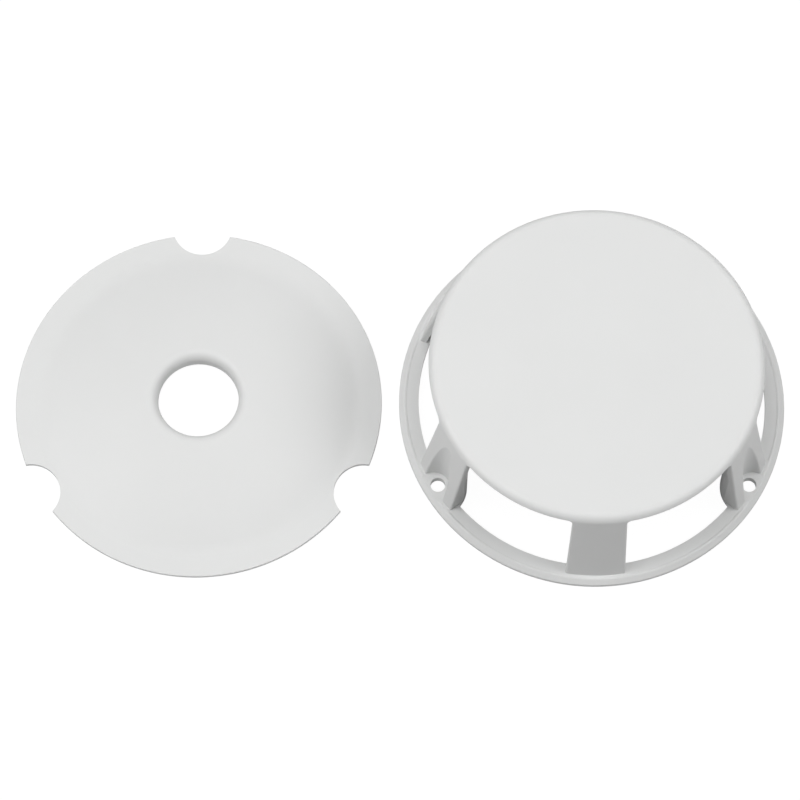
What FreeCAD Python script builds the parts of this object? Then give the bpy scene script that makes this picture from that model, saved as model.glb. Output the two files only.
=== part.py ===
"""Two-piece vent cap: a raised, six-windowed cap with a screw-down flange, and a domed base disc.

The disc lies on the mounting surface round a pipe, and the cap's flange covers the disc's rim.
Here the two pieces lie side by side, both standing on the plane z = 0. Lengths are millimetres,
angles are degrees, and +Z is up.
"""
import FreeCAD, Part
import os
import Sketcher

SIZES = [
    # The frame: how far apart the two axes stand.
    ("axis_spacing", 155.0),
    # Cap flange: a thin ring with a downturned lip, a low ridge and a bevelled edge.
    ("flange_radius", 76.0),
    ("flange_edge_height", 2.0),
    ("ridge_radius", 73.6),
    ("ridge_height", 3.8),
    ("band_height", 3.4),
    ("band_inner_radius", 68.3),
    ("rebate_radius", 72.9),
    ("rebate_depth", 1.8),
    ("edge_rounding", 0.5),
    ("ridge_rounding", 1.0),
    # Cap shell: a leaning wall and a flat roof with a rounded rim.
    ("foot_radius", 72.4),
    ("rim_radius", 64.9),
    ("window_top", 42.0),
    ("cap_height", 45.0),
    ("rim_rounding", 3.5),
    ("wall_thickness", 2.6),
    ("roof_thickness", 2.4),
    # Six windows between six posts.
    ("post_half_angle", 9.3),
    ("window_inner_radius", 54.0),
    ("window_corner", 1.8),
    ("post_edge_rounding", 0.7),
    # Three screw pockets, each backed by a half tube, with a key below that fills a disc notch.
    ("tube_circle", 71.6),
    ("tube_radius", 12.6),
    ("pocket_radius", 6.2),
    ("pocket_circle", 72.0),
    ("screw_circle", 70.2),
    ("screw_hole_radius", 2.9),
    ("notch_circle", 75.3),
    ("notch_radius", 11.8),
    ("key_radius", 11.0),
    ("key_outer_flat", 73.2),
    # Base disc: a flat rim, a shallow spherical dome and a collar round the pipe hole.
    ("disc_radius", 72.2),
    ("disc_thickness", 1.6),
    ("rim_inner_radius", 61.9),
    ("dome_height", 10.0),
    ("dome_foot_rounding", 20.0),
    ("pipe_hole_radius", 15.9),
    ("pipe_hole_rounding", 3.6),
    ("collar_thickness", 2.0),
    ("collar_bottom", 2.4),
    ("disc_edge_rounding", 0.3),
    # Moulding marks on the hidden faces.
    ("gate_radius", 1.6),
    ("gate_height", 0.5),
    ("ejector_radius", 3.0),
    ("ejector_depth", 0.25),
    ("cap_ejector_circle", 46.0),
    ("disc_ejector_circle", 67.0),
]

# The leaning wall: how much its radius shrinks per millimetre of height, and its angle.
LEAN_RATE = "((dim.foot_radius - dim.rim_radius) / (dim.window_top - dim.band_height))"
LEAN = f"atan({LEAN_RATE})"
WALL_ACROSS = f"(dim.wall_thickness / cos({LEAN}))"

# The dome's sphere, and the centre of the rounding that leads from it into the pipe hole.
DOME_RISE = "(dim.dome_height - dim.disc_thickness)"
DOME_RADIUS = f"((dim.rim_inner_radius ^ 2 + {DOME_RISE} ^ 2) / (2 * {DOME_RISE}))"
DOME_CENTRE = f"(dim.dome_height - {DOME_RADIUS})"


def make_sheet(doc):
    """Spreadsheet of the driving dimensions: names in column A, numbers in column B."""
    sheet = doc.addObject("Spreadsheet::Sheet", "dim")
    for row, (name, size) in enumerate(SIZES, 1):
        sheet.set(f"A{row}", name)
        sheet.set(f"B{row}", str(size))
        sheet.setAlias(f"B{row}", name)
    doc.recompute()
    return sheet


def value(owner, formula):
    """The number that a formula in the sheet's names works out to."""
    result = owner.evalExpression(formula)
    return float(getattr(result, "Value", result))


def origin_feature(body, role):
    return next(item for item in body.Origin.OriginFeatures if item.Role == role)


def new_body(doc, name):
    body = doc.addObject("PartDesign::Body", name)
    body.Label = name
    return body


def new_sketch(body, name, role, height=None):
    """Sketch on one of the body's own origin planes, lifted to a height where one is given."""
    sketch = body.newObject("Sketcher::SketchObject", name)
    sketch.AttachmentSupport = (origin_feature(body, role), [""])
    sketch.MapMode = "FlatFace"
    if height:
        sketch.setExpression("AttachmentOffset.Base.z", height)
    return sketch


def pin(sketch, kind, geometry, point, formula):
    """Holds one coordinate of a point at a formula's value."""
    number = value(sketch, formula)
    index = sketch.addConstraint(Sketcher.Constraint(kind, -1, 1, geometry, point, number))
    sketch.setExpression(f"Constraints[{index}]", formula)


def arc_between(start, end, radius, turn):
    """The shorter arc from start to end: turn is 1 to the left and -1 to the right."""
    chord = end - start
    middle = (start + end) / 2
    left = FreeCAD.Vector(-chord.y, chord.x, 0).normalize()
    centre = middle + left * turn * (radius ** 2 - (chord.Length / 2) ** 2) ** 0.5
    first, last = (start, end) if turn > 0 else (end, start)
    x_axis = FreeCAD.Vector(1, 0, 0)
    angles = []
    for point in (first, last):
        spoke = point - centre
        angle = spoke.getAngle(x_axis)
        angles.append(angle if spoke.y >= 0 else -angle)
    circle = Part.Circle(centre, FreeCAD.Vector(0, 0, 1), radius)
    return Part.ArcOfCircle(circle, angles[0], angles[1])


def draw_outline(sketch, corners):
    """Closed outline whose corners are pinned to formulas.

    A corner is (x, y), or (x, y, radius, turn) where the side that starts there is an arc.
    """
    points = []
    for corner in corners:
        points.append(FreeCAD.Vector(value(sketch, corner[0]), value(sketch, corner[1]), 0))
    ends = []
    for index, corner in enumerate(corners):
        start = points[index]
        end = points[(index + 1) % len(points)]
        if len(corner) == 2:
            side = sketch.addGeometry(Part.LineSegment(start, end))
            ends.append((side, 1, 2))
            continue
        radius, turn = corner[2], corner[3]
        side = sketch.addGeometry(arc_between(start, end, value(sketch, radius), turn))
        ends.append((side, 1, 2) if turn > 0 else (side, 2, 1))
    for index, (side, first, _) in enumerate(ends):
        before, _, last = ends[index - 1]
        sketch.addConstraint(Sketcher.Constraint("Coincident", before, last, side, first))
        pin(sketch, "DistanceX", side, first, corners[index][0])
        pin(sketch, "DistanceY", side, first, corners[index][1])
    for (side, _, _), corner in zip(ends, corners):
        if len(corner) == 4:
            number = value(sketch, corner[2])
            bend = sketch.addConstraint(Sketcher.Constraint("Radius", side, number))
            sketch.setExpression(f"Constraints[{bend}]", corner[2])


def draw_circle(sketch, x, y, radius):
    centre = FreeCAD.Vector(value(sketch, x), value(sketch, y), 0)
    circle = Part.Circle(centre, FreeCAD.Vector(0, 0, 1), value(sketch, radius))
    side = sketch.addGeometry(circle)
    pin(sketch, "DistanceX", side, 3, x)
    pin(sketch, "DistanceY", side, 3, y)
    size = sketch.addConstraint(Sketcher.Constraint("Radius", side, value(sketch, radius)))
    sketch.setExpression(f"Constraints[{size}]", radius)


def turn_profile(body, name, kind, corners):
    """Revolution or Groove of an outline in radius and height, right round the body's axis."""
    sketch = new_sketch(body, name + "_outline", "XZ_Plane")
    draw_outline(sketch, corners)
    feature = body.newObject("PartDesign::" + kind, name)
    feature.Profile = sketch
    feature.ReferenceAxis = (sketch, ["V_Axis"])
    feature.Angle = 360
    body.Document.recompute()
    return feature


def extrude(body, name, kind, draw, start, length, upward=True):
    """Pad or Pocket of what draw puts in a flat sketch, from a height, up or down."""
    sketch = new_sketch(body, name + "_outline", "XY_Plane", start)
    draw(sketch)
    feature = body.newObject("PartDesign::" + kind, name)
    feature.Profile = sketch
    feature.Reversed = upward if kind == "Pocket" else not upward
    feature.setExpression("Length", length)
    body.Document.recompute()
    return feature


def repeat_round(body, feature, count):
    """The same feature count times, evenly spaced round the body's axis."""
    pattern = body.newObject("PartDesign::PolarPattern", feature.Name + "_round")
    pattern.Originals = [feature]
    pattern.Axis = (origin_feature(body, "Z_Axis"), [""])
    pattern.Angle = 360
    pattern.Occurrences = count
    body.Tip = pattern
    body.Document.recompute()
    return pattern


def round_edges(body, name, wanted, radius):
    """Fillet on every edge that the test picks out."""
    base = body.Tip
    names = [f"Edge{n}" for n, edge in enumerate(base.Shape.Edges, 1) if wanted(edge)]
    fillet = body.newObject("PartDesign::Fillet", name)
    fillet.Base = (base, names)
    fillet.setExpression("Radius", radius)
    body.Tip = fillet
    body.Document.recompute()
    return fillet


def ring_edge_test(owner, places):
    """Test for circular edges about the axis, at any of the (radius, height) places."""
    numbers = [(value(owner, radius), value(owner, height)) for radius, height in places]

    def wanted(edge):
        if not isinstance(edge.Curve, Part.Circle):
            return False
        centre = edge.Curve.Center
        if (centre.x ** 2 + centre.y ** 2) ** 0.5 > 0.01:
            return False
        return any(abs(edge.Curve.Radius - radius) < 0.02 and abs(centre.z - height) < 0.02
                   for radius, height in numbers)

    return wanted


def wall_radius(height):
    """Radius of the wall's outer face at a height."""
    return f"(dim.foot_radius - ({height} - dim.band_height) * {LEAN_RATE})"


def rounded_rim():
    """Where the rim's rounding leaves the wall, and where it meets the flat roof."""
    corner = wall_radius("dim.cap_height")
    reach = f"(dim.rim_rounding * tan((90 - {LEAN} / 1 deg) / 2))"
    on_wall = (f"{corner} + {reach} * sin({LEAN})", f"dim.cap_height - {reach} * cos({LEAN})")
    on_roof = (f"{corner} - {reach}", "dim.cap_height")
    return on_wall, on_roof


def add_shell(body):
    """Roof and leaning wall as one turned shell, its foot sunk into the flange."""
    foot = "(dim.rebate_depth + dim.band_height) / 2"
    underside = "(dim.cap_height - dim.roof_thickness)"
    on_wall, on_roof = rounded_rim()
    turn_profile(body, "shell", "Revolution", [
        ("0", underside),
        (f"{wall_radius(underside)} - {WALL_ACROSS}", underside),
        (f"{wall_radius(foot)} - {WALL_ACROSS}", foot),
        (wall_radius(foot), foot),
        (*on_wall, "dim.rim_rounding", 1),
        on_roof,
        ("0", "dim.cap_height"),
    ])


def add_tubes(body):
    """Three tubes behind the screw pockets, trimmed flush with the shell's outer face."""

    def outline(sketch):
        draw_circle(sketch, "0", "dim.tube_circle", "dim.tube_radius")

    tube = extrude(body, "tube", "Pad", outline, "dim.rebate_depth",
                   "dim.cap_height - dim.roof_thickness / 2 - dim.rebate_depth")
    repeat_round(body, tube, 3)
    beyond = "dim.flange_radius + dim.tube_radius"
    on_wall, on_roof = rounded_rim()
    turn_profile(body, "tube_trim", "Groove", [
        (wall_radius("0"), "0"),
        (beyond, "0"),
        (beyond, "dim.cap_height"),
        (*on_roof, "dim.rim_rounding", -1),
        on_wall,
    ])
    relief_foot = "(dim.rim_inner_radius + 0.2)"
    relief_rise = "(2 * dim.rebate_depth)"
    turn_profile(body, "dome_relief", "Groove", [
        ("dim.window_inner_radius", "0"),
        (relief_foot, "0"),
        (relief_foot, "dim.rebate_depth"),
        ("dim.window_inner_radius", f"dim.rebate_depth + {relief_rise}"),
    ])


def add_flange(body):
    """Ring with a rebate below for the disc's rim, and a ridge and bevel above."""
    turn_profile(body, "flange", "Revolution", [
        ("dim.rebate_radius", "0"),
        ("dim.flange_radius", "0"),
        ("dim.flange_radius", "dim.flange_edge_height"),
        ("dim.ridge_radius", "dim.ridge_height"),
        ("dim.rebate_radius", "dim.band_height"),
        ("dim.band_inner_radius", "dim.band_height"),
        ("dim.band_inner_radius", "dim.rebate_depth"),
        ("dim.rebate_radius", "dim.rebate_depth"),
    ])
    edges = ring_edge_test(body, [
        ("dim.flange_radius", "0"),
        ("dim.flange_radius", "dim.flange_edge_height"),
    ])
    round_edges(body, "flange_edge_rounding", edges, "dim.edge_rounding")
    ridge = ring_edge_test(body, [("dim.ridge_radius", "dim.ridge_height")])
    round_edges(body, "ridge_rounding", ridge, "dim.ridge_rounding")


def add_keys(body):
    """Three feet under the screw holes that fill the disc's notches and reach the surface."""
    half_flat = "sqrt(dim.key_radius ^ 2 - (dim.notch_circle - dim.key_outer_flat) ^ 2)"

    def outline(sketch):
        draw_outline(sketch, [
            (f"-{half_flat}", "dim.key_outer_flat", "dim.key_radius", 1),
            (half_flat, "dim.key_outer_flat"),
        ])

    key = extrude(body, "key", "Pad", outline, "0", "dim.rebate_depth")
    repeat_round(body, key, 3)


def wall_edge_test(body):
    """Test for edges on the wall's outer face, from just above the band to the windows' tops."""
    low = value(body, "dim.band_height")
    high = value(body, "dim.window_top")
    lean = value(body, LEAN_RATE)
    foot = value(body, "dim.foot_radius")

    def wanted(edge):
        middle = edge.valueAt((edge.FirstParameter + edge.LastParameter) / 2)
        across = (middle.x ** 2 + middle.y ** 2) ** 0.5
        on_wall = abs(across - foot + (middle.z - low) * lean) < 0.05
        return on_wall and low + 0.5 < middle.z < high + 0.02

    return wanted


def cut_windows(body):
    """Six windows from the flange's band up to the rim, with rounded top corners and edges."""
    half = "(30 - dim.post_half_angle)"

    def outline(sketch):
        draw_outline(sketch, [
            (f"dim.window_inner_radius * cos({half})", f"-dim.window_inner_radius * sin({half})"),
            (f"dim.rebate_radius * cos({half})", f"-dim.rebate_radius * sin({half})",
             "dim.rebate_radius", 1),
            (f"dim.rebate_radius * cos({half})", f"dim.rebate_radius * sin({half})"),
            (f"dim.window_inner_radius * cos({half})", f"dim.window_inner_radius * sin({half})",
             "dim.window_inner_radius", -1),
        ])

    window = extrude(body, "window", "Pocket", outline, "dim.band_height",
                     "dim.window_top - dim.band_height")
    repeat_round(body, window, 6)
    top = value(body, "dim.window_top")

    def top_corner(edge):
        ends = [vertex.Point for vertex in edge.Vertexes]
        if len(ends) != 2 or any(abs(end.z - top) > 0.02 for end in ends):
            return False
        return isinstance(edge.Curve, Part.Line) and edge.Length < 5

    round_edges(body, "window_corners", top_corner, "dim.window_corner")
    round_edges(body, "post_edges", wall_edge_test(body), "dim.post_edge_rounding")


def cut_pockets(body):
    """Three upright pockets that open outwards through the wall, each with its screw hole."""

    def outline(sketch):
        beyond = "(dim.flange_radius + dim.pocket_radius)"
        draw_outline(sketch, [
            ("-dim.pocket_radius", beyond),
            ("-dim.pocket_radius", "dim.pocket_circle", "dim.pocket_radius", 1),
            ("0", "dim.pocket_circle - dim.pocket_radius", "dim.pocket_radius", 1),
            ("dim.pocket_radius", "dim.pocket_circle"),
            ("dim.pocket_radius", beyond),
        ])

    pocket = extrude(body, "pocket", "Pocket", outline, "dim.band_height", "dim.cap_height")
    repeat_round(body, pocket, 3)

    def hole(sketch):
        draw_circle(sketch, "0", "dim.screw_circle", "dim.screw_hole_radius")

    screw_hole = extrude(body, "screw_hole", "Pocket", hole, "dim.band_height",
                         "dim.band_height + 1", upward=False)
    repeat_round(body, screw_hole, 3)


def soften_pockets(body):
    """Small rounding round the mouths of the three pockets."""
    on_wall = wall_edge_test(body)
    reach = value(body, "dim.pocket_radius") + 0.05

    def mouth(edge):
        if not on_wall(edge):
            return False
        middle = edge.valueAt((edge.FirstParameter + edge.LastParameter) / 2)
        for turn in (0, 120, 240):
            turned = FreeCAD.Rotation(FreeCAD.Vector(0, 0, 1), turn).multVec(middle)
            if turned.y > 0 and abs(turned.x) < reach:
                return True
        return False

    round_edges(body, "pocket_edges", mouth, "dim.post_edge_rounding")


def add_cap_marks(body):
    """Gate stub and six ejector-pin marks on the roof's underside."""
    underside = "(dim.cap_height - dim.roof_thickness)"

    def gate(sketch):
        draw_circle(sketch, "0", "0", "dim.gate_radius")

    def ejector(sketch):
        draw_circle(sketch, "dim.cap_ejector_circle", "0", "dim.ejector_radius")

    extrude(body, "gate", "Pad", gate, underside, "dim.gate_height", upward=False)
    mark = extrude(body, "ejector", "Pocket", ejector, underside, "dim.ejector_depth")
    repeat_round(body, mark, 6)


def make_cap(doc):
    body = new_body(doc, "vent_cap")
    add_shell(body)
    add_tubes(body)
    add_flange(body)
    add_keys(body)
    cut_windows(body)
    cut_pockets(body)
    soften_pockets(body)
    add_cap_marks(body)
    body.setExpression("Placement.Base.x",
                       "(dim.axis_spacing - dim.flange_radius + dim.disc_radius) / 2")
    return body


def add_plate(body):
    """Flat rim, domed middle and collar, as one turned plate of even thickness."""
    inner = "dim.pipe_hole_radius"
    across = f"({inner} + dim.pipe_hole_rounding)"
    # The rounding into the hole touches the inside of the dome's sphere.
    centre = (f"({DOME_CENTRE} + sqrt(({DOME_RADIUS} - dim.pipe_hole_rounding) ^ 2"
              f" - {across} ^ 2))")
    reach = f"({DOME_RADIUS} / ({DOME_RADIUS} - dim.pipe_hole_rounding))"
    meet = (f"{across} * {reach}", f"{DOME_CENTRE} + ({centre} - {DOME_CENTRE}) * {reach}")
    # The underside is the same sphere, one thickness in.
    under_radius = f"({DOME_RADIUS} - dim.disc_thickness)"
    collar = f"({inner} + dim.collar_thickness)"
    under_foot = f"sqrt({under_radius} ^ 2 - {DOME_CENTRE} ^ 2)"
    turn_profile(body, "plate", "Revolution", [
        (inner, "dim.collar_bottom"),
        (collar, "dim.collar_bottom"),
        (collar, f"{DOME_CENTRE} + sqrt({under_radius} ^ 2 - {collar} ^ 2)", under_radius, -1),
        (under_foot, "0"),
        ("dim.disc_radius", "0"),
        ("dim.disc_radius", "dim.disc_thickness"),
        ("dim.rim_inner_radius", "dim.disc_thickness", DOME_RADIUS, 1),
        (*meet, "dim.pipe_hole_rounding", 1),
        (inner, centre),
    ])
    rim = ring_edge_test(body, [
        ("dim.disc_radius", "0"),
        ("dim.disc_radius", "dim.disc_thickness"),
    ])
    round_edges(body, "rim_rounding", rim, "dim.disc_edge_rounding")
    dome_foot = ring_edge_test(body, [
        ("dim.rim_inner_radius", "dim.disc_thickness"),
        (under_foot, "0"),
    ])
    round_edges(body, "dome_foot_rounding", dome_foot, "dim.dome_foot_rounding")


def cut_notches(body):
    def outline(sketch):
        draw_circle(sketch, "0", "dim.notch_circle", "dim.notch_radius")

    notch = extrude(body, "notch", "Pocket", outline, "-1", "dim.disc_thickness + 2")
    repeat_round(body, notch, 3)


def add_disc_marks(body):
    """Six ejector-pin marks under the disc's rim, one 30 degrees to each side of every notch."""

    def ejector(sketch):
        draw_circle(sketch, "dim.disc_ejector_circle", "0", "dim.ejector_radius")

    mark = extrude(body, "ejector", "Pocket", ejector, "0", "dim.ejector_depth")
    repeat_round(body, mark, 6)


def make_disc(doc):
    body = new_body(doc, "base_disc")
    add_plate(body)
    cut_notches(body)
    add_disc_marks(body)
    body.setExpression("Placement.Base.x",
                       "-(dim.axis_spacing + dim.flange_radius - dim.disc_radius) / 2")
    return body


def check(doc, bodies):
    """Stops if any object failed, or if a piece isn't one valid solid."""
    failed = [item.Name for item in doc.Objects if {"Invalid", "Error"} & set(item.State)]
    if failed:
        raise RuntimeError("failed objects: " + ", ".join(failed))
    for body in bodies:
        shape = body.Shape
        if shape.isNull() or not shape.isValid() or len(shape.Solids) != 1:
            raise RuntimeError(body.Label + " isn't one valid solid")
        print(f"{body.Label}: {shape.Volume:.0f} mm3, box {shape.BoundBox}")


def main():
    doc = FreeCAD.newDocument("vent_cap_set")
    make_sheet(doc)
    bodies = [make_disc(doc), make_cap(doc)]
    doc.recompute()
    check(doc, bodies)
    os.makedirs("parts", exist_ok=True)
    for body in bodies:
        body.Shape.exportStep(f"parts/{body.Label}.step")


main()
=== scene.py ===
"""Looks for the two-piece vent cap: moulded white plastic under soft studio light."""
import math

import bpy
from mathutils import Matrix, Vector


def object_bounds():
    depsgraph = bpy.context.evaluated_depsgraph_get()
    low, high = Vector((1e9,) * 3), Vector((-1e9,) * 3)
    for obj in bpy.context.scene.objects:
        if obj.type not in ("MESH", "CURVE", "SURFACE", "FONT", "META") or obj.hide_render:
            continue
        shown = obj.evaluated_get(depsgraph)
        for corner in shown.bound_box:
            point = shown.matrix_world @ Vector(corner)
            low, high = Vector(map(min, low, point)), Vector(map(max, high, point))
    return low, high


MM = 0.001

# Camera: a long lens that looks down on the pair from the front.
ELEVATION = math.radians(69.0)
LENS_MM = 162.0
SENSOR_MM = 36.0
DISTANCE_PER_LENGTH = 4.694      # camera distance over the pair's length
AIM_BEHIND_MM = 1.7              # the aim point lies this far behind the pair's centre

# Soft round lights, each aimed at the pair's centre: where it stands, seen from above and
# turning right from the camera's side, how high, and its power.
SKY_STRENGTH = 0.115
LIGHT_DISTANCE_PER_LENGTH = 4.3
LIGHT_SIZE_PER_LENGTH = 2.65
LIGHTS = [
    # name, turn in degrees, height in degrees, power in watts
    ("left", 275, 48, 6.6),
    ("right", 85, 45, 6.2),
    ("top", 0, 90, 4.0),
    ("front_left", 315, 45, 1.6),
    ("back", 180, 45, 2.3),
]

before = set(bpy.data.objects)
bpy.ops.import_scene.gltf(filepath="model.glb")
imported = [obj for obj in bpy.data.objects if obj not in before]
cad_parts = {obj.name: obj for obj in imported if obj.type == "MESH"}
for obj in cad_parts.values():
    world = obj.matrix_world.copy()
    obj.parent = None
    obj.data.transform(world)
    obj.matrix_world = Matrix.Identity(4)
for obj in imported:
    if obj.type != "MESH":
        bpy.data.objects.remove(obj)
cad_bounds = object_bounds()


def new_material(name):
    """Empty node material, as (material, nodes, links, output)."""
    material = bpy.data.materials.new(name)
    material.use_nodes = True
    nodes = material.node_tree.nodes
    nodes.clear()
    output = nodes.new("ShaderNodeOutputMaterial")
    return material, nodes, material.node_tree.links, output


def moulded_plastic(name, colour, pattern_shift):
    """Satin plastic with fine moulded grain, faintly cloudy tone and uneven gloss."""
    material, nodes, links, output = new_material(name)
    shader = nodes.new("ShaderNodeBsdfPrincipled")
    shader.inputs["IOR"].default_value = 1.49
    shader.inputs["Subsurface Weight"].default_value = 0.12
    shader.inputs["Subsurface Radius"].default_value = (1.0, 0.95, 0.9)
    shader.inputs["Subsurface Scale"].default_value = 1.2 * MM
    links.new(shader.outputs["BSDF"], output.inputs["Surface"])

    place = nodes.new("ShaderNodeTexCoord")
    shifted = nodes.new("ShaderNodeVectorMath")
    shifted.operation = "ADD"
    shifted.inputs[1].default_value = pattern_shift
    links.new(place.outputs["Object"], shifted.inputs[0])

    def noise(size_mm, detail):
        node = nodes.new("ShaderNodeTexNoise")
        node.inputs["Scale"].default_value = 1 / (size_mm * MM)
        node.inputs["Detail"].default_value = detail
        links.new(shifted.outputs["Vector"], node.inputs["Vector"])
        return node

    def spread(source, low, high):
        node = nodes.new("ShaderNodeMapRange")
        node.inputs["From Min"].default_value = 0.3
        node.inputs["From Max"].default_value = 0.7
        node.inputs["To Min"].default_value = low
        node.inputs["To Max"].default_value = high
        links.new(source, node.inputs["Value"])
        return node.outputs["Result"]

    cloud = noise(38, 3)
    tint = nodes.new("ShaderNodeMix")
    tint.data_type = "RGBA"
    tint.inputs["A"].default_value = (*[part * 0.985 for part in colour], 1)
    tint.inputs["B"].default_value = (*colour, 1)
    links.new(spread(cloud.outputs["Fac"], 0, 1), tint.inputs["Factor"])
    links.new(tint.outputs["Result"], shader.inputs["Base Color"])

    gloss = noise(9, 4)
    links.new(spread(gloss.outputs["Fac"], 0.42, 0.5), shader.inputs["Roughness"])

    grain = noise(0.45, 2)
    bump = nodes.new("ShaderNodeBump")
    bump.inputs["Distance"].default_value = 0.02 * MM
    bump.inputs["Strength"].default_value = 0.35
    links.new(grain.outputs["Fac"], bump.inputs["Height"])
    links.new(bump.outputs["Normal"], shader.inputs["Normal"])
    return material


def give(node, material):
    """Puts a material on every slot of a piece."""
    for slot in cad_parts[node].material_slots:
        slot.material = material


def floor_material():
    """White paper: the camera sees it nearly shadowless, other rays see plain diffuse white."""
    material, nodes, links, output = new_material("paper")
    diffuse = nodes.new("ShaderNodeBsdfDiffuse")
    diffuse.inputs["Color"].default_value = (0.62, 0.62, 0.62, 1)
    glow = nodes.new("ShaderNodeEmission")
    glow.inputs["Color"].default_value = (1, 1, 1, 1)
    glow.inputs["Strength"].default_value = 1.08
    path = nodes.new("ShaderNodeLightPath")
    share = nodes.new("ShaderNodeMath")
    share.operation = "MULTIPLY"
    share.inputs[1].default_value = 0.9
    mix = nodes.new("ShaderNodeMixShader")
    links.new(path.outputs["Is Camera Ray"], share.inputs[0])
    links.new(share.outputs["Value"], mix.inputs["Fac"])
    links.new(diffuse.outputs["BSDF"], mix.inputs[1])
    links.new(glow.outputs["Emission"], mix.inputs[2])
    links.new(mix.outputs["Shader"], output.inputs["Surface"])
    return material


def make_floor(low, length):
    """Large flat floor just under the pieces."""
    bpy.ops.mesh.primitive_plane_add(size=40 * length, location=(0, 0, low.z - 0.02 * MM))
    floor = bpy.context.object
    floor.name = "floor"
    floor.data.materials.append(floor_material())


def add_light(name, turn, height, power, middle, length):
    """Round soft light on a sphere round the pair, facing its centre."""
    turn, height = math.radians(turn), math.radians(height)
    flat = math.cos(height)
    spoke = Vector((flat * math.sin(turn), -flat * math.cos(turn), math.sin(height)))
    data = bpy.data.lights.new(name, "AREA")
    data.shape = "DISK"
    data.size = LIGHT_SIZE_PER_LENGTH * length
    data.energy = power
    light = bpy.data.objects.new(name, data)
    light.location = middle + LIGHT_DISTANCE_PER_LENGTH * length * spoke
    light.rotation_euler = spoke.to_track_quat("Z", "Y").to_euler()
    bpy.context.scene.collection.objects.link(light)


def make_lights(middle, length):
    """Soft lights on both sides and overhead, under a dim even sky."""
    world = bpy.data.worlds.new("studio")
    world.use_nodes = True
    sky = world.node_tree.nodes["Background"]
    sky.inputs["Color"].default_value = (1, 1, 1, 1)
    sky.inputs["Strength"].default_value = SKY_STRENGTH
    bpy.context.scene.world = world
    for name, turn, height, power in LIGHTS:
        add_light(name, turn, height, power, middle, length)


def make_camera(middle, length):
    """Long-lens camera in front of the pair, looking down on it."""
    aim = middle + Vector((0, AIM_BEHIND_MM * MM, 0))
    distance = DISTANCE_PER_LENGTH * length
    data = bpy.data.cameras.new("camera")
    data.lens = LENS_MM
    data.sensor_width = SENSOR_MM
    data.clip_start = 0.01
    camera = bpy.data.objects.new("camera", data)
    camera.location = aim + distance * Vector((0, -math.cos(ELEVATION), math.sin(ELEVATION)))
    camera.rotation_euler = (math.pi / 2 - ELEVATION, 0, 0)
    bpy.context.scene.collection.objects.link(camera)
    bpy.context.scene.camera = camera


def main():
    low, high = (Vector(corner) for corner in cad_bounds)
    length = high.x - low.x
    middle = Vector(((low.x + high.x) / 2, (low.y + high.y) / 2, low.z))
    disc_white = (0.76, 0.765, 0.76)
    cap_white = (0.765, 0.77, 0.765)
    give("base_disc", moulded_plastic("disc_plastic", disc_white, (0.31, 0.17, 0.05)))
    give("vent_cap", moulded_plastic("cap_plastic", cap_white, (0.0, 0.0, 0.0)))
    make_floor(low, length)
    make_lights(middle, length)
    make_camera(middle, length)
    bpy.context.scene.view_settings.view_transform = "Standard"


main()
